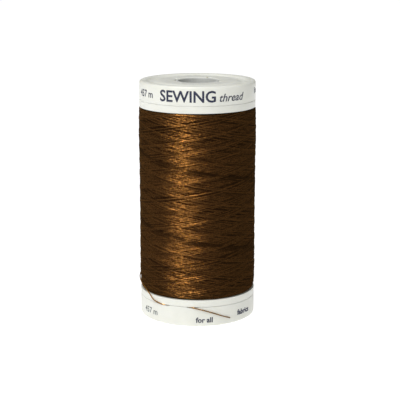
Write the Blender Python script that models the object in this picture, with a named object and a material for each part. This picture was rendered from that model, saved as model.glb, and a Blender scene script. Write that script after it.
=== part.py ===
"""Large spool of all-purpose sewing thread, standing on its lower end cap.

A straight winding tube carries a flange at each end, and a thin spindle tube runs through both
flanges for the sewing machine's spool pin. A cap closes each end. Four sprung fingers hold each cap
on its flange, and let it pull out a little so that the thread's free end can be laid in the seam
between cap and flange and then gripped there.

Units are metres, +Z is up, and the origin is the middle of the face that the spool stands on.
"""

import math

import bmesh
import bpy
from mathutils import Matrix, Vector
from mathutils.geometry import interpolate_bezier

# ---------------------------------------------------------------- driving dimensions

SPOOL_RADIUS = 0.0190
SPOOL_HEIGHT = 0.0782
SEGMENTS = 48

SLIDE_GAP = 0.0002  # radial gap where a cap slides
FIT_GAP = 0.0001  # gap where two still pieces meet

# End cap, drawn with its outer face at height 0 and its mouth upwards.
CAP_HEIGHT = 0.00625
CAP_WALL = 0.0015
CAP_WEB = 0.0012
CAP_TRAVEL = 0.0016
LIP_FLAT_INNER = 0.0169
LIP_ROUNDING = 0.0012
SEAM_CHAMFER = 0.0003
TROUGH_DEPTH = 0.0007
TROUGH_INNER = 0.0142
TROUGH_OUTER = 0.0158
FACE_DEPTH = 0.0002
FACE_OUTER = 0.0129
HOLE_EDGE = 0.0003
COLLAR_DEPTH = 0.0051
COLLAR_WALL = 0.0010
DRIVE_NOTCHES = 4
DRIVE_NOTCH_WIDTH = 0.0022
DRIVE_NOTCH_REACH = 0.0087

# The upper cap and flange are turned together by four of their facets.
UPPER_TURN = math.radians(-30)

# Seam between cap and flange. The lower one is held open by the thread that it grips.
LOWER_SEAM = 0.0004
UPPER_SEAM = 0.0001

# Spindle tube and winding tube.
SPINDLE_INNER = 0.0063
SPINDLE_OUTER = 0.0072
SPINDLE_INSET = 0.0003
TUBE_INNER = 0.0143
TUBE_OUTER = 0.0155

# Flange, drawn with its cap side at height 0 and its winding side upwards.
RING_THICKNESS = 0.0022
WEB_THICKNESS = 0.0013
REGISTER_DEPTH = 0.0013
REGISTER_WALL = 0.0011
SPIGOT_LENGTH = 0.0070
SPIGOT_WALL = 0.0012
BOSS_LENGTH = 0.0055
BOSS_WALL = 0.0014

# Sprung fingers of a cap, and the windows in the flange that they reach through.
FINGERS = 4
FINGER_INNER = 0.0103
FINGER_OUTER = 0.0113
FINGER_ANGLE = math.radians(24)
HOOK_OUTER = 0.0121
HOOK_HEIGHT = 0.0014
HOOK_CLEARANCE = 0.00015
WINDOW_INNER = 0.0097
WINDOW_OUTER = 0.0116
WINDOW_ANGLE = math.radians(29)

# The wound thread: its outer radius at shares of its height, a hand-wound package's slight waves.
WOUND_RADII = (
    (0.000, 0.01835),
    (0.010, 0.01866),
    (0.025, 0.01888),
    (0.060, 0.01902),
    (0.120, 0.01908),
    (0.420, 0.01900),
    (0.720, 0.01908),
    (0.830, 0.01920),
    (0.930, 0.01916),
    (0.985, 0.01903),
    (1.000, 0.01890),
)

# The free end: (degrees from the front, towards +X; distance from the axis; height), by hand.
TAIL_DIAMETER = 0.00034
TAIL_POINTS = 80
TAIL_ROUTE = (
    (-112, 0.01920, 0.01340),
    (-104, 0.01925, 0.01297),
    (-94, 0.01930, 0.01240),
    (-85, 0.01930, 0.01187),
    (-76, 0.01929, 0.01134),
    (-68, 0.01928, 0.01072),
    (-62, 0.01926, 0.01012),
    (-57, 0.01924, 0.00940),
    (-53, 0.01922, 0.00848),
    (-50, 0.01921, 0.00765),
    (-46, 0.01919, 0.00710),
    (-41.5, 0.01911, 0.00678),
    (-38, 0.01893, 0.00660),
    (-34.5, 0.01858, 0.00647),
    (-30, 0.01818, 0.00645),
    (-25, 0.01792, 0.00645),
    (-20, 0.01785, 0.00645),
    (-15, 0.01788, 0.00645),
    (-10.5, 0.01806, 0.00645),
    (-7.5, 0.01845, 0.00645),
    (-5, 0.01890, 0.00646),
    (-2.5, 0.01914, 0.00636),
    (1, 0.01921, 0.00608),
    (6, 0.01920, 0.00562),
    (12, 0.01919, 0.00495),
    (18, 0.01919, 0.00421),
    (23, 0.01919, 0.00350),
    (28.5, 0.01919, 0.00280),
    (34, 0.01919, 0.00215),
)

# ---------------------------------------------------------------- places that follow from them

LOWER_FLANGE_AT = CAP_HEIGHT + LOWER_SEAM
UPPER_FLANGE_AT = SPOOL_HEIGHT - CAP_HEIGHT - UPPER_SEAM
WOUND_LOW = LOWER_FLANGE_AT + RING_THICKNESS + FIT_GAP
WOUND_HIGH = UPPER_FLANGE_AT - RING_THICKNESS - FIT_GAP
SKIRT_INNER = SPOOL_RADIUS - CAP_WALL
FACE_BACK = FACE_DEPTH + CAP_WEB


def clear_scene():
    for obj in list(bpy.data.objects):
        bpy.data.objects.remove(obj)


def plastic(name, colour, roughness):
    made = bpy.data.materials.new(name)
    made.use_nodes = True
    shader = made.node_tree.nodes["Principled BSDF"]
    shader.inputs["Base Color"].default_value = (*colour, 1)
    shader.inputs["Roughness"].default_value = roughness
    shader.inputs["Metallic"].default_value = 0
    return made


def add_object(name, bm, material):
    """The finished bmesh as a smooth-shaded object of the scene."""
    bmesh.ops.recalc_face_normals(bm, faces=bm.faces)
    mesh = bpy.data.meshes.new(name)
    bm.to_mesh(mesh)
    bm.free()
    if material:
        mesh.materials.append(material)
    mesh.shade_smooth()
    mesh.set_sharp_from_angle(angle=math.radians(32))
    obj = bpy.data.objects.new(name, mesh)
    bpy.context.scene.collection.objects.link(obj)
    return obj


def turned(name, profile, material=None):
    """A closed outline of (radius, height) points turned once round the Z axis."""
    bm = bmesh.new()
    ring = [bm.verts.new((radius, 0, height)) for radius, height in profile]
    edges = [bm.edges.new((a, b)) for a, b in zip(ring, ring[1:] + ring[:1])]
    bmesh.ops.spin(
        bm,
        geom=ring + edges,
        axis=(0, 0, 1),
        cent=(0, 0, 0),
        angle=math.tau,
        steps=SEGMENTS,
        use_merge=True,
    )
    return add_object(name, bm, material)


def arc_block(name, profile, angle, width, steps=4):
    """A closed outline of (radius, height) points swept through a part of a turn, centred on angle."""
    bm = bmesh.new()
    rings = []
    for k in range(steps + 1):
        turn = Matrix.Rotation(angle - width / 2 + width * k / steps, 3, "Z")
        rings.append([bm.verts.new(turn @ Vector((r, 0, height))) for r, height in profile])
    bm.faces.new(rings[0])
    bm.faces.new(rings[-1])
    for a, b in zip(rings, rings[1:]):
        for i in range(len(profile)):
            bm.faces.new((a[i - 1], a[i], b[i], b[i - 1]))
    return add_object(name, bm, None)


def rectangle(inner, outer, low, high):
    return [(inner, low), (outer, low), (outer, high), (inner, high)]


def round_corner(centre, radius, start, end, steps=4):
    """Points on an arc about centre, from one angle to another in degrees."""
    angles = [math.radians(start + (end - start) * i / steps) for i in range(steps + 1)]
    return [(centre[0] + radius * math.cos(a), centre[1] + radius * math.sin(a)) for a in angles]


def boolean(obj, tool, operation):
    """Cuts tool from obj, or joins it, and removes the tool."""
    modifier = obj.modifiers.new(operation.title(), "BOOLEAN")
    modifier.operation = operation
    modifier.solver = "EXACT"
    modifier.object = tool
    graph = bpy.context.evaluated_depsgraph_get()
    settled = bpy.data.meshes.new_from_object(obj.evaluated_get(graph))
    obj.modifiers.clear()
    obj.data = settled
    bpy.data.objects.remove(tool)


def place(obj, height, upside_down=False):
    """Sets an end piece at its height. The upper end's are upside down, and turned about Z."""
    obj.location = (0, 0, height)
    if upside_down:
        obj.rotation_euler = (math.pi, 0, UPPER_TURN)


def copy_of(obj, name):
    made = bpy.data.objects.new(name, obj.data)
    bpy.context.scene.collection.objects.link(made)
    return made


# ---------------------------------------------------------------- end caps


def cap_profile():
    """Outer skirt with a rounded lip, a trough inside the lip, a flat face, and a collar that
    slides on the spindle tube."""
    lip_centre = (SPOOL_RADIUS - LIP_ROUNDING, LIP_ROUNDING)
    collar_inner = SPINDLE_OUTER + SLIDE_GAP
    collar_outer = collar_inner + COLLAR_WALL
    trough_back = TROUGH_DEPTH + CAP_WEB
    return [
        (LIP_FLAT_INNER, 0),
        *round_corner(lip_centre, LIP_ROUNDING, -90, 0, 5),
        (SPOOL_RADIUS, CAP_HEIGHT - SEAM_CHAMFER),
        (SPOOL_RADIUS - SEAM_CHAMFER, CAP_HEIGHT),
        (SKIRT_INNER, CAP_HEIGHT),
        (SKIRT_INNER, trough_back + 0.0006),
        (SKIRT_INNER - 0.0009, trough_back),
        (TROUGH_INNER, trough_back),
        (FACE_OUTER, FACE_BACK),
        (collar_outer, FACE_BACK),
        (collar_outer, COLLAR_DEPTH),
        (collar_inner, COLLAR_DEPTH),
        (collar_inner, FACE_DEPTH + HOLE_EDGE),
        (collar_inner + HOLE_EDGE, FACE_DEPTH),
        (FACE_OUTER, FACE_DEPTH),
        (TROUGH_INNER, TROUGH_DEPTH),
        (TROUGH_OUTER, TROUGH_DEPTH),
        (LIP_FLAT_INNER - 0.0004, 0.0002),
    ]


def finger_profile():
    """A straight finger that ends in an outward hook with a sloping nose."""
    catch = LOWER_SEAM + CAP_HEIGHT + WEB_THICKNESS + CAP_TRAVEL + HOOK_CLEARANCE
    top = catch + HOOK_HEIGHT
    return [
        (FINGER_INNER, FACE_BACK - 0.0005),
        (FINGER_OUTER, FACE_BACK - 0.0005),
        (FINGER_OUTER, catch),
        (HOOK_OUTER, catch),
        (HOOK_OUTER, catch + HOOK_HEIGHT * 0.3),
        (FINGER_OUTER - 0.0002, top),
        (FINGER_INNER, top),
    ]


def build_caps(material):
    lower = turned("lower_cap", cap_profile(), material)
    for i in range(FINGERS):
        angle = math.tau * (i + 0.5) / FINGERS
        boolean(lower, arc_block("finger", finger_profile(), angle, FINGER_ANGLE), "UNION")
    notch = rectangle(
        SPINDLE_OUTER - 0.001, DRIVE_NOTCH_REACH, FACE_DEPTH - 0.001, FACE_BACK + 0.0005
    )
    width = DRIVE_NOTCH_WIDTH / DRIVE_NOTCH_REACH
    for i in range(DRIVE_NOTCHES):
        angle = math.tau * i / DRIVE_NOTCHES
        boolean(lower, arc_block("notch", notch, angle, width, 2), "DIFFERENCE")
    upper = copy_of(lower, "upper_cap")
    place(lower, 0)
    place(upper, SPOOL_HEIGHT, upside_down=True)


# ---------------------------------------------------------------- flanges


def flange_profile():
    """Outer ring with a register inside the cap's skirt, a web, a spigot and a boss."""
    register_outer = SKIRT_INNER - SLIDE_GAP
    register_inner = register_outer - REGISTER_WALL
    spigot_outer = TUBE_INNER - FIT_GAP
    boss_inner = SPINDLE_OUTER + FIT_GAP
    return [
        (boss_inner, 0),
        (register_inner, 0),
        (register_inner, -REGISTER_DEPTH),
        (register_outer, -REGISTER_DEPTH),
        (register_outer, 0),
        (SPOOL_RADIUS - SEAM_CHAMFER, 0),
        (SPOOL_RADIUS, SEAM_CHAMFER),
        (SPOOL_RADIUS, RING_THICKNESS - SEAM_CHAMFER),
        (SPOOL_RADIUS - SEAM_CHAMFER, RING_THICKNESS),
        (spigot_outer, RING_THICKNESS),
        (spigot_outer, SPIGOT_LENGTH),
        (spigot_outer - SPIGOT_WALL, SPIGOT_LENGTH),
        (spigot_outer - SPIGOT_WALL, WEB_THICKNESS),
        (boss_inner + BOSS_WALL, WEB_THICKNESS),
        (boss_inner + BOSS_WALL, BOSS_LENGTH),
        (boss_inner, BOSS_LENGTH),
    ]


def build_flanges(material):
    lower = turned("lower_flange", flange_profile(), material)
    opening = rectangle(WINDOW_INNER, WINDOW_OUTER, -0.001, WEB_THICKNESS + 0.001)
    for i in range(FINGERS):
        angle = math.tau * (i + 0.5) / FINGERS
        boolean(lower, arc_block("window", opening, angle, WINDOW_ANGLE), "DIFFERENCE")
    upper = copy_of(lower, "upper_flange")
    place(lower, LOWER_FLANGE_AT)
    place(upper, UPPER_FLANGE_AT, upside_down=True)


# ---------------------------------------------------------------- tubes and thread


def build_tubes(material):
    turned(
        "winding_tube",
        rectangle(TUBE_INNER, TUBE_OUTER, WOUND_LOW, WOUND_HIGH),
        material,
    )
    turned(
        "spindle_tube",
        rectangle(SPINDLE_INNER, SPINDLE_OUTER, SPINDLE_INSET, SPOOL_HEIGHT - SPINDLE_INSET),
        material,
    )


def build_package(material):
    """The wound thread as one solid of its outer shape, round the winding tube."""
    inner = TUBE_OUTER + FIT_GAP
    low, high = WOUND_LOW + FIT_GAP, WOUND_HIGH - FIT_GAP
    outer = [(radius, low + share * (high - low)) for share, radius in WOUND_RADII]
    turned("thread_package", [(inner, low), *outer, (inner, high)], material)


def smooth_line(points, count):
    """Evenly spaced points on the smooth curve through the given ones."""
    ends = [2 * points[0] - points[1], *points, 2 * points[-1] - points[-2]]
    fine = []
    for before, a, b, after in zip(ends, ends[1:], ends[2:], ends[3:]):
        fine += interpolate_bezier(a, a + (b - before) / 6, b - (after - a) / 6, b, 32)[:-1]
    fine.append(points[-1])
    along = [0.0]
    for a, b in zip(fine, fine[1:]):
        along.append(along[-1] + (b - a).length)
    even, i = [], 0
    for k in range(count):
        at = along[-1] * k / (count - 1)
        while i < len(along) - 2 and along[i + 1] < at:
            i += 1
        even.append(fine[i].lerp(fine[i + 1], (at - along[i]) / (along[i + 1] - along[i])))
    return even


def build_tail(material):
    """The thread's free end: off the winding, into the lower seam, and out again over the cap."""
    route = []
    for degrees, radius, height in TAIL_ROUTE:
        angle = math.radians(degrees)
        route.append(Vector((radius * math.sin(angle), -radius * math.cos(angle), height)))
    curve = bpy.data.curves.new("thread_tail", "CURVE")
    curve.dimensions = "3D"
    curve.bevel_depth = TAIL_DIAMETER / 2
    curve.bevel_resolution = 2
    curve.use_fill_caps = True
    curve.materials.append(material)
    spline = curve.splines.new("POLY")
    line = smooth_line(route, TAIL_POINTS)
    spline.points.add(len(line) - 1)
    for point, place_of in zip(spline.points, line):
        point.co = (*place_of, 1)
    obj = bpy.data.objects.new("thread_tail", curve)
    bpy.context.scene.collection.objects.link(obj)


def main():
    clear_scene()
    white = plastic("white_plastic", (0.86, 0.87, 0.83), 0.42)
    natural = plastic("natural_plastic", (0.62, 0.63, 0.60), 0.5)
    brown = plastic("brown_thread", (0.13, 0.062, 0.018), 0.6)
    build_caps(white)
    build_flanges(white)
    build_tubes(natural)
    build_package(brown)
    build_tail(brown)


main()
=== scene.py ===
import math

import bmesh
import bpy
import numpy as np
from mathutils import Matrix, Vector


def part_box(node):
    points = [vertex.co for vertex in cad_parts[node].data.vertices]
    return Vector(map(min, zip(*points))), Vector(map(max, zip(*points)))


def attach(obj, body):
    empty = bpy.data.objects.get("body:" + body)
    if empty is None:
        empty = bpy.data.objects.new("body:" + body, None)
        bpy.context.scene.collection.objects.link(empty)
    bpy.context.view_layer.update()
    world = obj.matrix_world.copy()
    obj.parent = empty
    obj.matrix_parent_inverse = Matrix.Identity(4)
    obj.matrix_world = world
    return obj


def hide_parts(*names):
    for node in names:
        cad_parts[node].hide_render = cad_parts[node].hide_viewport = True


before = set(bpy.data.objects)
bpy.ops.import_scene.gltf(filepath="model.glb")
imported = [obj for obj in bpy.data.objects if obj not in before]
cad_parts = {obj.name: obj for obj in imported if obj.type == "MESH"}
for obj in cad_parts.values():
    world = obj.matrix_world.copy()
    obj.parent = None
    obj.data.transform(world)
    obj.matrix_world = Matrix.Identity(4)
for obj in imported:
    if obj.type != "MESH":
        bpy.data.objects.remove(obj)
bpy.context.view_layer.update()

# ---------------------------------------------------------------- Winding tube
# A straight extruded tube of natural polypropylene that the thread is wound on. The two flanges'
# spigots are pressed into its ends, and the thread covers it completely.


class Nodes:
    """The nodes of one material, with short calls for the kinds that this spool's finishes use."""

    def __init__(self, name):
        self.material = bpy.data.materials.new(name)
        self.material.use_nodes = True
        self.tree = self.material.node_tree
        self.shader = self.tree.nodes["Principled BSDF"]
        self.object = self.add("ShaderNodeTexCoord").outputs["Object"]

    def add(self, kind, **settings):
        node = self.tree.nodes.new(kind)
        for key, value in settings.items():
            setattr(node, key, value)
        return node

    def put(self, value, socket):
        """Links an output to a socket, or sets the socket to a plain value."""
        if isinstance(value, bpy.types.NodeSocket):
            self.tree.links.new(value, socket)
        elif value is not None:
            socket.default_value = value

    def math(self, operation, a, b=None, c=None):
        node = self.add("ShaderNodeMath", operation=operation)
        for value, socket in zip((a, b, c), node.inputs):
            self.put(value, socket)
        return node.outputs["Value"]

    def noise(self, scale, detail=3, stretch=(1, 1, 1), place=None):
        turn = self.add("ShaderNodeMapping")
        turn.inputs["Scale"].default_value = stretch
        self.put(place or self.object, turn.inputs["Vector"])
        node = self.add("ShaderNodeTexNoise")
        node.inputs["Scale"].default_value = scale
        node.inputs["Detail"].default_value = detail
        self.put(turn.outputs["Vector"], node.inputs["Vector"])
        return node.outputs["Fac"]

    def spread(self, value, low, high, to_low=0.0, to_high=1.0):
        node = self.add("ShaderNodeMapRange")
        for socket, number in zip(node.inputs[1:5], (low, high, to_low, to_high)):
            socket.default_value = number
        self.put(value, node.inputs["Value"])
        return node.outputs["Result"]

    def blend(self, factor, a, b):
        """Colour a turning into colour b as the factor goes from 0 to 1."""
        node = self.add("ShaderNodeMix", data_type="RGBA")
        self.put(factor, node.inputs[0])
        for value, socket in ((a, node.inputs[6]), (b, node.inputs[7])):
            self.put((*value, 1) if isinstance(value, tuple) else value, socket)
        return node.outputs[2]

    def bump(self, height, strength, distance):
        node = self.add("ShaderNodeBump")
        node.inputs["Strength"].default_value = strength
        node.inputs["Distance"].default_value = distance
        self.put(height, node.inputs["Height"])
        self.put(node.outputs["Normal"], self.shader.inputs["Normal"])

    def set(self, **sockets):
        for name, value in sockets.items():
            self.put(value, self.shader.inputs[name.replace("_", " ")])
        return self.material


def plastic(name, light, dark, roughness, cloud, scatter):
    """Moulded plastic. Slow noise blends a light and a dark tone, and quicker noise varies the
    roughness. Long fine scratches and a faint grain raise the surface by a few micrometres."""
    made = Nodes(name)
    tone = made.blend(made.spread(made.noise(cloud, 4), 0.38, 0.68), light, dark)
    gloss = made.spread(made.noise(900), 0.3, 0.7, roughness - 0.07, roughness + 0.09)
    scratches = made.spread(made.noise(420, 2, (1, 1, 14)), 0.60, 0.72)
    made.bump(made.math("MULTIPLY_ADD", scratches, -0.6, made.noise(3200)), 0.35, 0.000012)
    made.set(Base_Color=tone, Roughness=gloss, IOR=1.49, Subsurface_Weight=scatter)
    made.set(Subsurface_Radius=(1.0, 0.95, 0.8), Subsurface_Scale=0.0015)
    return made.material


natural_plastic = plastic("natural_plastic", (0.63, 0.64, 0.61), (0.56, 0.57, 0.54), 0.45, 140, 0.1)
winding_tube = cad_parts["winding_tube"]
winding_tube.data.materials.clear()
winding_tube.data.materials.append(natural_plastic)

# ---------------------------------------------------------------- Spindle tube
# A thin extruded tube for the sewing machine's spool pin. A boss in each flange holds it, each cap's
# collar slides on it, and its ends lie just inside the holes of the caps.

SPINDLE_RADII = (0.0063, 0.0072)
SPINDLE_SOFTNESS = 0.00025
TURN = 192  # columns of a turned surface


def soften(outline, cut, steps=5):
    """A closed outline with every corner C replaced by a quadratic curve, from a point A that lies
    a distance cut before it to B after it: (1-t)^2 A + 2t(1-t) C + t^2 B, for t from 0 to 1."""
    corner = np.asarray(outline, float)
    before, after = np.roll(corner, 1, 0) - corner, np.roll(corner, -1, 0) - corner
    length_before = np.linalg.norm(before, axis=1)
    length_after = np.linalg.norm(after, axis=1)
    share = np.minimum(cut, 0.45 * np.minimum(length_before, length_after))
    a = (corner + before * (share / length_before)[:, None])[:, None]
    b = (corner + after * (share / length_after)[:, None])[:, None]
    t = np.linspace(0, 1, steps)[None, :, None]
    curve = (1 - t) ** 2 * a + 2 * t * (1 - t) * corner[:, None] + t**2 * b
    return curve.reshape(-1, 2)


def turned_points(outline):
    """Each (r, z) of an outline, or of a different one in each column, turned round the Z axis:
    x = r sin a, y = -r cos a, with a measured from the front towards +X."""
    outline = np.asarray(outline, float)
    if outline.ndim == 2:
        outline = np.repeat(outline[:, None], TURN, 1)
    angle = math.tau * np.arange(TURN) / TURN
    r, z = outline[..., 0], outline[..., 1]
    return np.stack((r * np.sin(angle), -r * np.cos(angle), z), -1).reshape(-1, 3)


def ring_faces(rows, columns):
    """Four-cornered faces of a grid whose rows and columns both close on themselves."""
    row, column = np.divmod(np.arange(rows * columns), columns)
    row2, column2 = (row + 1) % rows, (column + 1) % columns
    at = ((row, column), (row, column2), (row2, column2), (row2, column))
    return np.stack([r * columns + c for r, c in at], -1)


def make_piece(name, points, faces, material, body, node, sharp=35):
    """Points and four-cornered faces as a piece that rides on a body and stands for a node. The
    faces are turned outwards if the volume that they hold, a sixth of the sum of p0 . (p1 x p2)
    over their triangles, comes out negative."""
    points, faces = np.asarray(points, float), np.asarray(faces)
    p = points[faces]
    halves = ((0, 1, 2), (0, 2, 3))
    volume = sum((p[:, i] * np.cross(p[:, j], p[:, k])).sum() for i, j, k in halves)
    if volume < 0:
        faces = faces[:, ::-1]
    mesh = bpy.data.meshes.new(name)
    mesh.vertices.add(len(points))
    mesh.vertices.foreach_set("co", points.astype(np.float32).ravel())
    mesh.loops.add(4 * len(faces))
    mesh.loops.foreach_set("vertex_index", faces.astype(np.int32).ravel())
    mesh.polygons.add(len(faces))
    mesh.polygons.foreach_set("loop_start", np.arange(0, 4 * len(faces), 4, dtype=np.int32))
    mesh.update(calc_edges=True)
    mesh.shade_smooth()
    if sharp:
        mesh.set_sharp_from_angle(angle=math.radians(sharp))
    mesh.materials.append(material)
    piece = bpy.data.objects.new(name, mesh)
    bpy.context.scene.collection.objects.link(piece)
    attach(piece, body)
    if node:
        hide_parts(node)
    return piece


spindle_low, spindle_high = (corner[2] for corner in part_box("spindle_tube"))
spindle_outline = soften(
    [
        (SPINDLE_RADII[0], spindle_low),
        (SPINDLE_RADII[1], spindle_low),
        (SPINDLE_RADII[1], spindle_high),
        (SPINDLE_RADII[0], spindle_high),
    ],
    SPINDLE_SOFTNESS,
)
make_piece(
    "spindle",
    turned_points(spindle_outline),
    ring_faces(len(spindle_outline), TURN),
    natural_plastic,
    "spool",
    "spindle_tube",
)

# ---------------------------------------------------------------- Flanges
# A white moulding pressed into each end of the winding tube. Its rim holds the thread in, a low
# register inside the rim guides the cap, and the cap's four fingers pass through its windows.

SPOOL_RADIUS = 0.0190
RIM_THICKNESS = 0.0022
UPPER_RIM_RISE = 0.00009  # narrows the closed seam between the upper flange and its cap
FLANGE_SOFTNESS = 0.00009
WEB_THICKNESS = 0.0013
REGISTER_RADII = (0.0162, 0.0173)
REGISTER_DEPTH = 0.0013
SPIGOT_RADII = (0.0130, 0.0142)
SPIGOT_LENGTH = 0.0070
BOSS_RADII = (0.0073, 0.0087)
BOSS_LENGTH = 0.0055
WINDOW_RADII = (0.0097, 0.0116)
QUARTER = TURN // 4
WINDOW_COLUMNS = 16
UPPER_TURN = math.radians(-30)

white_plastic = plastic("white_plastic", (0.81, 0.815, 0.745), (0.765, 0.77, 0.70), 0.36, 160, 0.25)


def place_end(points, height, upper):
    """An end piece moved to its height. The upper end's is turned over about X and then, as on the
    real spool, a little about Z."""
    points = np.array(points, float)
    if upper:
        points[:, 1:] *= -1
        c, s = math.cos(UPPER_TURN), math.sin(UPPER_TURN)
        points[:, :2] = points[:, :2] @ np.array([[c, s], [-s, c]])
    points[:, 2] += height
    return points


def flange(name, node, height, upper):
    """A turned outline with its cap side at height 0. At the windows, the web's two faces are left
    out, and walls join the outline's points there instead."""
    rim_rise = UPPER_RIM_RISE if upper else 0
    corners = soften(
        [
            (BOSS_RADII[0], BOSS_LENGTH),
            (BOSS_RADII[0], 0),
            (REGISTER_RADII[0], 0),
            (REGISTER_RADII[0], -REGISTER_DEPTH),
            (REGISTER_RADII[1], -REGISTER_DEPTH),
            (REGISTER_RADII[1], 0),
            (SPOOL_RADIUS, -rim_rise),
            (SPOOL_RADIUS, RIM_THICKNESS),
            (SPIGOT_RADII[1], RIM_THICKNESS),
            (SPIGOT_RADII[1], SPIGOT_LENGTH),
            (SPIGOT_RADII[0], SPIGOT_LENGTH),
            (SPIGOT_RADII[0], WEB_THICKNESS),
            (BOSS_RADII[1], WEB_THICKNESS),
            (BOSS_RADII[1], BOSS_LENGTH),
        ],
        FLANGE_SOFTNESS,
    ).reshape(14, -1, 2)
    near = [(radius, 0) for radius in WINDOW_RADII]
    far = [(radius, WEB_THICKNESS) for radius in reversed(WINDOW_RADII)]
    parts = [corners[:2].reshape(-1, 2), near, corners[2:12].reshape(-1, 2), far]
    near_in = len(parts[0])
    far_out = near_in + 2 + len(parts[2])
    near_out, far_in = near_in + 1, far_out + 1
    outline = np.concatenate([*parts, corners[12:].reshape(-1, 2)])

    column = np.arange(TURN)
    is_open = (column - (QUARTER - WINDOW_COLUMNS) // 2) % QUARTER < WINDOW_COLUMNS
    faces = ring_faces(len(outline), TURN).reshape(-1, TURN, 4)
    kept = np.ones(faces.shape[:2], bool)
    kept[near_in, is_open] = kept[far_out, is_open] = False

    def wall(*corners_at):
        return np.stack([row * TURN + at % TURN for row, at in corners_at], -1)

    a = column[is_open]
    first = a[::WINDOW_COLUMNS]
    last = first + WINDOW_COLUMNS
    walls = (
        wall((near_in, a), (near_in, a + 1), (far_in, a + 1), (far_in, a)),
        wall((near_out, a + 1), (near_out, a), (far_out, a), (far_out, a + 1)),
        wall((near_out, first), (near_in, first), (far_in, first), (far_out, first)),
        wall((near_in, last), (near_out, last), (far_out, last), (far_in, last)),
    )
    points = place_end(turned_points(outline), height, upper)
    faces = np.concatenate([faces[kept], *walls])
    make_piece(name, points, faces, white_plastic, "spool", node)


flange("flange_lower", "lower_flange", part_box("lower_flange")[0][2] + REGISTER_DEPTH, False)
flange("flange_upper", "upper_flange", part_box("upper_flange")[1][2] - REGISTER_DEPTH, True)

# ---------------------------------------------------------------- Wound thread
# About 457 m of brown three-ply polyester, a quarter of a millimetre thick. A traverse guide lays it
# up and down the turning tube, so its last layers cross each other at a slant of about 11 degrees.

THREAD = 0.00025
PLIES = 3
PLY_PITCH = 0.0012
TRAVERSE_TURNS = 2.5 + 0.5 * (0.4 + 0.0024)  # of the tube in one pass, and a little to move on
PASSES = 200
STEPS_PER_TURN = 58
TURN_BACK = 0.9985  # how sharply the thread turns back at each end of the tube
CELL_ACROSS = 0.00025  # of the map of the surface's height
CELL_UP = 0.00008
LAID_HEIGHT = 0.00016  # what one thread adds to the height under the next
LIFT_SHOWN = 0.22  # the share of the height that is left when soft thread has bedded down
TOP_INSET = 0.00003
GROOVE_SHADOW_SHARE = 0.06  # of the passes, which lie in grooves and are painted dark: painted shadow
WOUND_RADII = (
    (0.000, 0.01835),
    (0.010, 0.01866),
    (0.025, 0.01888),
    (0.060, 0.01902),
    (0.120, 0.01908),
    (0.420, 0.01900),
    (0.720, 0.01908),
    (0.830, 0.01920),
    (0.930, 0.01916),
    (0.985, 0.01903),
    (1.000, 0.01890),
)
wound_low, wound_high = (corner[2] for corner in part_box("thread_package"))


def wound_radius(z):
    """The winding's outer radius at heights z, read from its outline."""
    share = (np.asarray(z) - wound_low) / (wound_high - wound_low)
    return np.interp(share, *np.array(WOUND_RADII).T)


def thread_finish(name, gold, brown):
    """Twisted polyester. Along the thread, the plies turn round each other once in each pitch, and
    noise makes single spots of it smoother and shinier, as filaments catch the light; the same
    spots are painted lighter in the base colour, a painted glint. The colour is also painted darker
    in the creases between the plies, and it is scaled by the shade attribute, which holds painted
    shade and a random tone per bundle. The shine has the thread's own colour, so it is made by the
    metallic share and not by the clear one.
    U is the distance along the thread in millimetres, and V runs once round it."""
    made = Nodes(name)
    uv = made.add("ShaderNodeUVMap", uv_map="thread").outputs["UV"]
    apart = made.add("ShaderNodeSeparateXYZ")
    made.put(uv, apart.inputs[0])
    u, v = apart.outputs[0], apart.outputs[1]
    ply = made.math("MULTIPLY_ADD", v, PLIES, made.math("MULTIPLY", u, PLIES / (1000 * PLY_PITCH)))
    ridge = made.math("ABSOLUTE", made.math("SINE", made.math("MULTIPLY", ply, math.pi)))
    fibre = made.noise(1.0, 2, (3.0, 22.0, 1), uv)
    spot = made.spread(made.noise(1.0, 2, (2.6, 0.7, 1), uv), 0.40, 0.60)
    glint = made.spread(made.noise(2000, 2), 0.46, 0.56)
    shade = made.add("ShaderNodeAttribute", attribute_name="shade").outputs["Fac"]
    # Painted glint: the spots that shine more are painted lighter in the base colour too.
    bright = made.math("MULTIPLY_ADD", spot, 0.25, made.math("MULTIPLY", glint, 0.75))
    tone = made.math("MULTIPLY", shade, made.spread(bright, 0, 1, 0.42, 0.76))
    # Painted shade: the colour is darker in the creases between the plies.
    tone_glint_and_shade = made.math("MULTIPLY", tone, made.spread(ridge, 0, 0.6, 0.35, 1))
    shine = made.math("MULTIPLY", bright, shade)
    relief = made.math("MULTIPLY_ADD", fibre, 0.25, ridge)
    made.bump(made.math("MULTIPLY_ADD", glint, 1.1, relief), 0.5, 0.00003)
    made.set(
        Base_Color=made.blend(tone_glint_and_shade, brown, gold),
        Roughness=made.spread(shine, 0, 0.8, 0.40, 0.24),
        Metallic=made.spread(shine, 0, 0.8, 0.04, 0.18),
        Specular_IOR_Level=0.0,
        Specular_Tint=(0.62, 0.44, 0.2, 1),
        Sheen_Weight=0.065,
        Sheen_Roughness=0.5,
        Sheen_Tint=(0.8, 0.48, 0.2, 1),
    )
    return made.material


wound_thread_finish = thread_finish("brown_thread", (0.124, 0.056, 0.016), (0.005, 0.0022, 0.0010))


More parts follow.
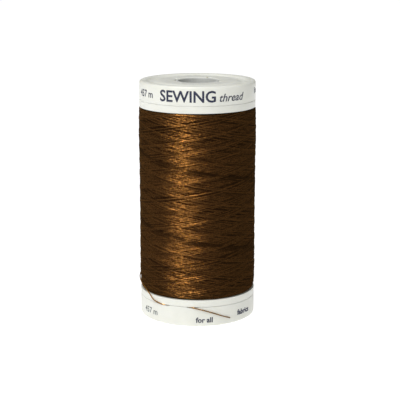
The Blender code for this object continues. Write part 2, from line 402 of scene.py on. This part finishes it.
def lay_thread():
    """The centreline of the last layers, as angle, height, radius and shade at even steps along it.

    The angle grows evenly, and the height goes up and down the tube as asin(k sin(pi u)), which
    is straight between rounded ends; u counts passes. Each step lies on what was laid before it,
    so a map of the surface's height is kept as passes are added. The shade is painted shade: it
    falls with the step's depth below the map's mean around it, and a few passes, which lie in the
    grooves between bundles, are painted dark all along as the grooves' shadow. Each other bundle
    of passes gets a random tone."""
    chance = np.random.default_rng(7)
    steps = int(PASSES * TRAVERSE_TURNS * STEPS_PER_TURN)
    fine = 8
    u = np.arange(steps * fine) / (TRAVERSE_TURNS * STEPS_PER_TURN * fine)
    drift = np.cumsum(chance.normal(0, 0.0016, PASSES + 2))
    angle = math.tau * (TRAVERSE_TURNS * u + np.interp(u, np.arange(PASSES + 2), drift))
    ends = wound_low + THREAD * 0.1, wound_high - THREAD * 0.1
    swing = np.arcsin(TURN_BACK * np.sin(math.pi * (u + 0.5))) / np.arcsin(TURN_BACK)
    reach = np.interp(u, np.arange(PASSES + 2), chance.uniform(0.986, 1.0, PASSES + 2))
    z = (ends[0] + ends[1]) / 2 + (ends[1] - ends[0]) / 2 * swing * reach

    across = int(math.tau * SPOOL_RADIUS / CELL_ACROSS)
    up = int((wound_high - wound_low) / CELL_UP) + 1
    surface = np.zeros((across, up))
    column = (angle / math.tau * across).astype(int) % across
    row = np.clip(((z - wound_low) / CELL_UP).astype(int), 1, up - 2)
    lift = np.zeros(len(u))
    kernel = np.hanning(11) / np.hanning(11).sum()
    for number in range(PASSES):
        own = np.flatnonzero((u >= number) & (u < number + 1))
        c, r = column[own], row[own]
        under = np.maximum.reduce([surface[c, r + k] for k in (-1, 0, 1)])
        under = np.maximum.reduce([np.roll(under, k) for k in (-2, -1, 0, 1, 2)])
        lift[own] = np.convolve(np.pad(under, 5, "edge"), kernel, "valid")
        for k in (-1, 0, 1):
            surface[c, r + k] = lift[own] + LAID_HEIGHT
    level = surface[:, up // 10 : -up // 10].mean()
    radius = wound_radius(z) - TOP_INSET + LIFT_SHOWN * np.clip(lift - level, -0.0003, 0.0002)

    # Painted shade: steps that lie lower than the mean height around them get a darker shade.
    around = sum(np.roll(surface, k, 0) for k in range(-2, 3)) / 5
    around = sum(np.roll(around, k, 1) for k in range(-5, 6)) / 11
    sunk = around[column, row] - lift - LAID_HEIGHT
    # Random tone per bundle, and painted shadow: a few passes are painted dark all along as the shadow in
    # the grooves between bundles.
    bundle_tone_and_groove_shadow = np.random.default_rng(3).uniform(0.68, 0.95, PASSES + 2)
    dark = np.random.default_rng(5).uniform(0, 1, PASSES + 2)
    dark = np.minimum(dark, np.roll(dark, 10))
    bundle_tone_and_groove_shadow = np.where(dark < GROOVE_SHADOW_SHARE, 0.15 + 4.0 * dark, bundle_tone_and_groove_shadow)
    shade = bundle_tone_and_groove_shadow[u.astype(int)] * np.clip(0.9 - sunk / 0.0004, 0.2, 1)
    keep = slice(None, None, fine)
    return angle[keep], z[keep], radius[keep], shade[keep]


def wrap_thread(name, angle, z, radius, shade, node):
    """A six-sided tube round the centreline: c + h cos w e_r + b sin w (t x e_r), with e_r pointing
    away from the spool's axis and t along the thread. Each end closes in a point."""
    sides = 6
    c = np.stack((radius * np.sin(angle), -radius * np.cos(angle), z), -1)
    e_r = np.stack((np.sin(angle), -np.cos(angle), 0 * angle), -1)
    t = np.gradient(c, axis=0)
    t /= np.linalg.norm(t, axis=1)[:, None]
    b = np.cross(t, e_r)
    w = math.tau * np.arange(sides) / sides
    grow = np.ones(len(c))
    grow[[0, -1]] = 0.02
    h = 0.46 * THREAD * grow[:, None, None] * np.cos(w)[None, :, None]
    s = 0.54 * THREAD * grow[:, None, None] * np.sin(w)[None, :, None]
    points = (c[:, None] + h * e_r[:, None] + s * b[:, None]).reshape(-1, 3)
    faces = ring_faces(len(c), sides)[: (len(c) - 1) * sides]
    ends = np.array([[0, 1, 2, 3], [0, 3, 4, 5]])
    faces = np.concatenate((faces, ends[:, ::-1], ends + (len(c) - 1) * sides))
    piece = make_piece(name, points, faces, wound_thread_finish, "spool", node, 0)
    mesh = piece.data

    corner = np.empty(len(mesh.loops), np.int32)
    mesh.loops.foreach_get("vertex_index", corner)
    along = np.concatenate(([0], np.cumsum(np.linalg.norm(np.diff(c, axis=0), axis=1)))) * 1000
    step, side = np.divmod(corner, sides)
    wraps = (side.reshape(-1, 4).max(1) == sides - 1) & (side.reshape(-1, 4).min(1) == 0)
    side = side.reshape(-1, 4) + sides * (wraps[:, None] & (side.reshape(-1, 4) == 0))
    uv = np.stack((along[step], side.ravel() / sides), -1)
    layer = mesh.uv_layers.new(name="thread")
    layer.data.foreach_set("uv", uv.astype(np.float32).ravel())
    tone = mesh.attributes.new("shade", "FLOAT", "POINT")
    tone.data.foreach_set("value", np.repeat(shade, sides).astype(np.float32))
    return piece


angle, z, radius, shade = lay_thread()
half = len(angle) // 2
for name, part in (
    ("thread_under_layer", slice(0, half)),
    ("thread_top_layer", slice(half - 1, None)),
):
    wrap_thread(name, angle[part], z[part], radius[part], shade[part], "thread_package")

# The layers beneath, as one body. Only slits of it show between the threads above, and its thread finish
# is painted much darker than the winding's: painted shade in the slits.
UNDER_ROWS = 120
UNDER_REACH = 0.00015  # past each end of the winding
UNDER_INSET = 0.00042
UNDER_INNER = 0.0156
heights = np.linspace(wound_low - UNDER_REACH, wound_high + UNDER_REACH, UNDER_ROWS)
body_outline = np.concatenate(
    (
        np.stack((wound_radius(heights) - UNDER_INSET, heights), -1),
        [(UNDER_INNER, heights[-1]), (UNDER_INNER, heights[0])],
    )
)
# Painted shade: the same thread, in a much darker copy of its colours.
under_painted_shade_finish = thread_finish("shaded_thread", (0.05, 0.022, 0.007), (0.012, 0.005, 0.002))
make_piece(
    "thread_body",
    turned_points(body_outline),
    ring_faces(len(body_outline), TURN),
    under_painted_shade_finish,
    "spool",
    "thread_package",
)

# ---------------------------------------------------------------- End caps
# Two alike white mouldings, a little translucent. Each has a rounded lip to stand on, a trough
# inside it, a flat face with a notched hole, and four hooked fingers that snap through a flange.

CAP_HEIGHT = 0.00625
SKIRT_INNER = 0.0175
FACE_DEPTH = 0.0002
FACE_BACK = 0.0014
TROUGH_DEPTH = 0.0007
TROUGH_BACK = 0.0019
COLLAR_RADII = (0.0074, 0.0084)
COLLAR_DEPTH = 0.0051
NOTCH_FLOOR = 0.00125
NOTCH_DEPTH = 0.0013
NOTCH_WIDTH = 0.0022
CAP_CORNERS = (  # radius, height, rounding
    (0.0169, 0, 0.0003),
    (SPOOL_RADIUS, 0, 0.0012),
    (SPOOL_RADIUS, CAP_HEIGHT - 0.00014, 0.00006),
    (SPOOL_RADIUS - 0.00014, CAP_HEIGHT, 0.00006),
    (0.01855, CAP_HEIGHT, 0.0001),
    (0.01850, CAP_HEIGHT, 0.0001),
    (SKIRT_INNER, CAP_HEIGHT, 0.00015),
    (SKIRT_INNER, TROUGH_BACK, 0.0007),
    (0.0142, TROUGH_BACK, 0.0003),
    (0.0129, FACE_BACK, 0.0003),
    (COLLAR_RADII[1], FACE_BACK, 0.0002),
    (COLLAR_RADII[1], COLLAR_DEPTH, 0.0002),
    (COLLAR_RADII[0], COLLAR_DEPTH, 0.0002),
    (COLLAR_RADII[0], NOTCH_FLOOR + 0.0001, 0.00003),
    (COLLAR_RADII[0], NOTCH_FLOOR, 0.00003),
    (COLLAR_RADII[0], FACE_DEPTH, 0.0003),
    (0.0129, FACE_DEPTH, 0.0004),
    (0.0142, TROUGH_DEPTH, 0.0004),
    (0.0158, TROUGH_DEPTH, 0.0004),
    (0.0165, 0.0002, 0.0003),
)
LIP = slice(2, 5)  # the corners of the mouth's outer lip
NOTCHED = slice(14, 16)  # the corners of the hole's edge
LIP_RISE = 0.00033
LIP_NICKS = ((-34.5, 4.0), (-5.0, 4.0))  # middle and half width, in degrees from the front
FINGER_RUNGS = (  # inner radius, outer radius, height
    (0.0103, 0.0113, FACE_BACK - 0.0005),
    (0.0103, 0.0113, 0.0097),
    (0.0103, 0.0121, 0.0097),
    (0.0103, 0.0121, 0.01012),
    (0.0103, 0.0111, 0.0111),
)
FINGER_WIDTH = math.radians(24)


def cap_shell(lip_rise):
    """A turned outline whose hole grows by the notches' depth wherever a column lies in one. The
    mouth's outer lip rises to hide the thread in the seam, but for two nicks that let it through."""
    corners = np.array(CAP_CORNERS)
    outline = soften(corners[:, :2], corners[:, 2]).reshape(len(corners), -1, 1, 2)
    outline = np.repeat(outline, TURN, 2)
    column = np.arange(TURN)
    from_notch = np.abs((column + QUARTER // 2) % QUARTER - QUARTER // 2) / TURN * math.tau
    notched = from_notch * (COLLAR_RADII[0] + NOTCH_DEPTH) < NOTCH_WIDTH / 2
    outline[NOTCHED, :, :, 0] += NOTCH_DEPTH * notched
    degrees = (column * 360 / TURN + 180) % 360 - 180
    whole = np.ones(TURN)
    for middle, half_width in LIP_NICKS:
        whole *= np.clip((np.abs(degrees - middle) - half_width) / 2, 0, 1)
    outline[LIP, :, :, 1] += lip_rise * whole
    outline = outline.reshape(-1, TURN, 2)
    return turned_points(outline), ring_faces(len(outline), TURN)


def finger(middle):
    """Rungs (r0, r1, z) swept through a part of a turn, and a ladder of faces over each end."""
    rungs = np.array(FINGER_RUNGS)
    left, right = rungs[:, [0, 2]], rungs[::-1, 1:]
    loop = np.concatenate((left, right))
    a = middle + FINGER_WIDTH * np.linspace(-0.5, 0.5, 9)
    r, z = loop[:, :1], loop[:, 1:]
    points = np.stack((r * np.sin(a), -r * np.cos(a), z + 0 * a), -1).reshape(-1, 3)
    count, columns = len(loop), len(a)
    faces = ring_faces(count, columns).reshape(count, columns, 4)[:, :-1].reshape(-1, 4)
    k = np.arange(len(rungs) - 1)
    end = np.stack((k, count - 1 - k, count - 2 - k, k + 1), -1) * columns
    return points, np.concatenate((faces, end, (end + columns - 1)[:, ::-1]))


def cap(name, node, height, upper, body):
    points, faces = cap_shell(0 if upper else LIP_RISE)
    for k in range(4):
        more, more_faces = finger(math.tau * (k + 0.5) / 4)
        faces = np.concatenate((faces, more_faces + len(points)))
        points = np.concatenate((points, more))
    points = place_end(points, height, upper)
    return make_piece(name, points, faces, white_plastic, body, node)


cap("cap_lower", "lower_cap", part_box("lower_cap")[0][2], False, "lower_cap")
cap("cap_upper", "upper_cap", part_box("upper_cap")[1][2], True, "upper_cap")

# ---------------------------------------------------------------- Print on the caps
# Plain words, pad-printed in dark ink round each cap's skirt. The film of ink is a few hundredths
# of a millimetre thick and follows the skirt's curve.

INK_THICKNESS = 0.00003


def ink(name, dark, light):
    """Printing ink. Fine noise lets a little of the lighter tone through, as thin ink does."""
    made = Nodes(name)
    worn = made.spread(made.noise(2600, 3), 0.52, 0.78)
    return made.set(
        Base_Color=made.blend(worn, dark, light),
        Roughness=made.spread(made.noise(1400), 0.3, 0.7, 0.42, 0.6),
    )


def wrap_print(name, flat, angle, height, material, body):
    """A flat, slightly thick mesh wrapped round the skirt: a point (x, y, d) goes to the angle
    a + x / R, the height h + y and the radius R + d. It is first cut into strips 0.4 mm wide."""
    shape = bmesh.new()
    shape.from_mesh(flat)
    spans = [v.co.x for v in shape.verts]
    for x in np.arange(min(spans) + 0.0004, max(spans), 0.0004):
        everything = [*shape.verts, *shape.edges, *shape.faces]
        bmesh.ops.bisect_plane(shape, geom=everything, plane_co=(x, 0, 0), plane_no=(1, 0, 0))
    bmesh.ops.triangulate(shape, faces=shape.faces)
    shape.to_mesh(flat)
    shape.free()
    points = np.empty(3 * len(flat.vertices), np.float32)
    flat.vertices.foreach_get("co", points)
    x, y, depth = points.reshape(-1, 3).T
    a = math.radians(angle) + x / SPOOL_RADIUS
    r = SPOOL_RADIUS + 0.00001 + depth
    wrapped = np.stack((r * np.sin(a), -r * np.cos(a), height + y), -1)
    flat.vertices.foreach_set("co", wrapped.astype(np.float32).ravel())
    flat.materials.clear()
    flat.materials.append(material)
    flat.update()
    piece = bpy.data.objects.new(name, flat)
    bpy.context.scene.collection.objects.link(piece)
    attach(piece, body)
    return piece


def words(name, text, size, bold, angle, height, material, body, spacing=1.0, shear=0.0):
    """Words as a flat mesh, centred on their place, and then wrapped round a cap."""
    curve = bpy.data.curves.new(name, "FONT")
    curve.body = text
    curve.size = size
    curve.offset = bold
    curve.space_character = spacing
    curve.shear = shear
    curve.align_x, curve.align_y = "CENTER", "CENTER"
    curve.resolution_u = 3
    curve.extrude = INK_THICKNESS / 2
    writer = bpy.data.objects.new(name + "_writer", curve)
    bpy.context.scene.collection.objects.link(writer)
    graph = bpy.context.evaluated_depsgraph_get()
    flat = bpy.data.meshes.new_from_object(writer.evaluated_get(graph))
    flat.name = name
    bpy.data.objects.remove(writer)
    wrap_print(name, flat, angle, height, material, body)


navy = ink("navy_ink", (0.012, 0.016, 0.045), (0.06, 0.07, 0.12))
grey = ink("grey_ink", (0.10, 0.12, 0.12), (0.20, 0.22, 0.22))
LOWER_PRINT = 0.0032
UPPER_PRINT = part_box("upper_cap")[1][2] - 0.0034
words("print_upper_1", "SEWING", 0.0050, 0.00010, -10, UPPER_PRINT, navy, "upper_cap")
words("print_upper_2", "thread", 0.0035, 0.00003, 34.5, UPPER_PRINT - 0.0004, navy, "upper_cap", 1.0, 0.3)
words("print_upper_3", "457 m", 0.0032, 0.00004, -60, UPPER_PRINT, navy, "upper_cap")
words("print_upper_4", "for all fabrics", 0.0028, 0.00003, 96, UPPER_PRINT + 0.0004, navy, "upper_cap")
words("print_upper_5", "100 % polyester", 0.0026, 0.00003, 180, UPPER_PRINT, grey, "upper_cap")
words("print_lower_1", "457 m", 0.0028, 0.00003, -54, LOWER_PRINT, grey, "lower_cap")
words("print_lower_2", "for all", 0.0024, 0.00006, 7, LOWER_PRINT - 0.001, navy, "lower_cap")
words("print_lower_3", "fabrics", 0.0024, 0.00009, 53, LOWER_PRINT, navy, "lower_cap")

# ---------------------------------------------------------------- The thread's free end
# The end of the outermost thread. It leaves the winding low on the left, is gripped in the seam
# between the lower flange and its cap, comes out near the front and lies on the cap to its cut end.

TAIL_DIAMETER = 0.00034
TAIL_ROUTE = (  # degrees from the front towards +X, distance from the axis, height
    (-112, 0.01920, 0.01340),
    (-104, 0.01925, 0.01297),
    (-94, 0.01930, 0.01240),
    (-85, 0.01930, 0.01187),
    (-76, 0.01929, 0.01134),
    (-68, 0.01928, 0.01072),
    (-62, 0.01926, 0.01012),
    (-57, 0.01924, 0.00940),
    (-53, 0.01922, 0.00848),
    (-50, 0.01921, 0.00765),
    (-46, 0.01919, 0.00710),
    (-41.5, 0.01911, 0.00678),
    (-38, 0.01893, 0.00660),
    (-34.5, 0.01858, 0.00647),
    (-30, 0.01818, 0.00645),
    (-25, 0.01792, 0.00645),
    (-20, 0.01785, 0.00645),
    (-15, 0.01788, 0.00645),
    (-10.5, 0.01806, 0.00645),
    (-7.5, 0.01845, 0.00645),
    (-5, 0.01890, 0.00646),
    (-2.5, 0.01914, 0.00636),
    (1, 0.01921, 0.00608),
    (6, 0.01920, 0.00562),
    (12, 0.01919, 0.00495),
    (18, 0.01919, 0.00421),
    (23, 0.01919, 0.00350),
    (28.5, 0.01919, 0.00280),
    (34, 0.01919, 0.00215),
)


def smooth_route(route, count):
    """Evenly spaced points on the cubic curve through the route's points, with each point's slope
    taken from its two neighbours."""
    degrees, r, z = np.array(route).T
    a = np.radians(degrees)
    p = np.stack((r * np.sin(a), -r * np.cos(a), z), -1)
    p = np.concatenate(([2 * p[0] - p[1]], p, [2 * p[-1] - p[-2]]))
    slope = (p[2:] - p[:-2]) / 2
    t = np.linspace(0, 1, 40, endpoint=False)[None, :, None]
    start, stop = p[1:-2][:, None], p[2:-1][:, None]
    go, come = slope[:-1][:, None], slope[1:][:, None]
    fine = (2 * t**3 - 3 * t**2 + 1) * start + (t**3 - 2 * t**2 + t) * go
    fine = fine + (3 * t**2 - 2 * t**3) * stop + (t**3 - t**2) * come
    fine = np.concatenate((fine.reshape(-1, 3), p[-2:-1]))
    along = np.concatenate(([0], np.cumsum(np.linalg.norm(np.diff(fine, axis=0), axis=1))))
    even = np.linspace(0, along[-1], count)
    return np.stack([np.interp(even, along, fine[:, k]) for k in range(3)], -1), along[-1]


def twisted_tail():
    """A tube whose section has a lobe for each ply, which turn as it goes: its radius at angle w, s
    along the thread, is q (1 + 0.17 cos(n w + 2 pi n s / p)), for n plies with a pitch of p."""
    line, length = smooth_route(TAIL_ROUTE, 420)
    sides = 18
    t = np.gradient(line, axis=0)
    t /= np.linalg.norm(t, axis=1)[:, None]
    away = line * np.array([1, 1, 0])
    side = np.cross(t, away / np.linalg.norm(away, axis=1)[:, None])
    side /= np.linalg.norm(side, axis=1)[:, None]
    up = np.cross(side, t)
    s = np.linspace(0, length, len(line))[:, None]
    w = (math.tau * np.arange(sides) / sides)[None]
    q = TAIL_DIAMETER / 2 / 1.08 * np.ones_like(s)
    q[0], q[-1] = q[0] * 0.05, q[-1] * 0.05
    radius = q * (1 + 0.17 * np.cos(PLIES * (w + math.tau * s / PLY_PITCH)))
    points = line[:, None] + radius[..., None] * (
        np.cos(w)[..., None] * up[:, None] + np.sin(w)[..., None] * side[:, None]
    )
    faces = ring_faces(len(line), sides)[: (len(line) - 1) * sides]
    k = np.arange(sides // 2 - 1)
    end = np.stack((k, k + 1, sides - 2 - k, sides - 1 - k), -1)
    faces = np.concatenate((faces, end[:, ::-1], end + (len(line) - 1) * sides))
    piece = make_piece(
        "thread_end", points.reshape(-1, 3), faces, tail_finish, "spool", "thread_tail", 0
    )
    mesh = piece.data
    corner = np.empty(len(mesh.loops), np.int32)
    mesh.loops.foreach_get("vertex_index", corner)
    step, at = np.divmod(corner, sides)
    uv = np.stack((step / len(line) * length * 1000, at / sides), -1)
    mesh.uv_layers.new(name="thread").data.foreach_set("uv", uv.astype(np.float32).ravel())
    tone = mesh.attributes.new("shade", "FLOAT", "POINT")
    tone.data.foreach_set("value", np.full(len(mesh.vertices), 0.9, np.float32))


# Painted light: the same thread as the winding, in a copy of its colours more than twice as light.
tail_finish = thread_finish("thread_end_lit_copy", (0.30, 0.155, 0.04), (0.07, 0.034, 0.009))
twisted_tail()

# ---------------------------------------------------------------- Camera, floor and light
# The spool stands on a white sheet in a white room. A large soft box is high on its left, and a tall
# warm lamp beside it draws the bright band down the thread.

camera = bpy.data.objects.new("camera", bpy.data.cameras.new("camera"))
camera.data.lens = 111.35
camera.data.sensor_width = 36
camera.data.shift_x = 0.0065
camera.data.shift_y = 0.0018
camera.location = (0, -0.4018, 0.1271)
camera.rotation_euler = (math.radians(90 - 12.54), 0, 0)
camera.data.clip_start = 0.01
bpy.context.scene.collection.objects.link(camera)
bpy.context.scene.camera = camera

floor_mesh = bpy.data.meshes.new("floor")
FLOOR = 3.0
floor_mesh.from_pydata(
    [(-FLOOR, -FLOOR, 0), (FLOOR, -FLOOR, 0), (FLOOR, FLOOR, 0), (-FLOOR, FLOOR, 0)],
    [],
    [(0, 1, 2, 3)],
)
floor_finish = Nodes("white_sheet")
floor_tone = floor_finish.blend(floor_finish.noise(3, 2), (0.37, 0.37, 0.37), (0.34, 0.34, 0.34))
floor_finish.set(Base_Color=floor_tone, Roughness=0.9, Specular_IOR_Level=0.1)
floor_finish.set(Emission_Color=(1, 1, 1, 1), Emission_Strength=0.92)
floor_mesh.materials.append(floor_finish.material)
floor = bpy.data.objects.new("floor", floor_mesh)
bpy.context.scene.collection.objects.link(floor)


def soft_box(name, azimuth, elevation, distance, size, power, colour=(1, 1, 1), only_gloss=False):
    """A rectangular lamp at an azimuth from the front towards +X, facing the spool's middle. With
    only_gloss, it shows in shiny surfaces and doesn't light dull ones."""
    lamp = bpy.data.lights.new(name, "AREA")
    lamp.shape = "RECTANGLE"
    lamp.size, lamp.size_y = size
    lamp.energy = power
    lamp.color = colour
    holder = bpy.data.objects.new(name, lamp)
    a, e = math.radians(azimuth), math.radians(elevation)
    place = np.array((math.sin(a) * math.cos(e), -math.cos(a) * math.cos(e), math.sin(e)))
    holder.location = place * distance + np.array((0, 0, 0.039))
    holder.rotation_euler = (math.pi / 2 - e, 0, a)
    bpy.context.scene.collection.objects.link(holder)
    holder.visible_diffuse = not only_gloss
    holder.visible_camera = False
    return holder


soft_box("key", -32, 58, 0.9, (0.5, 0.7), 7.3)
band = soft_box("band", -28, 30, 0.9, (0.30, 0.9), 335.0, (1.0, 0.92, 0.72), True)
band_lit = bpy.data.collections.new("wound_thread")
for name in ("thread_under_layer", "thread_top_layer", "thread_end"):
    band_lit.objects.link(bpy.data.objects[name])
band.light_linking.receiver_collection = band_lit

world = bpy.data.worlds.new("studio")
world.use_nodes = True
bpy.context.scene.world = world
back = world.node_tree.nodes["Background"]
ray = world.node_tree.nodes.new("ShaderNodeLightPath")
strength = world.node_tree.nodes.new("ShaderNodeMix")
strength.inputs[2].default_value = 0.22
strength.inputs[3].default_value = 0.15
world.node_tree.links.new(ray.outputs["Is Glossy Ray"], strength.inputs[0])
world.node_tree.links.new(strength.outputs[0], back.inputs["Strength"])
back.inputs["Color"].default_value = (1, 1, 1, 1)
bpy.context.scene.view_settings.view_transform = "Standard"
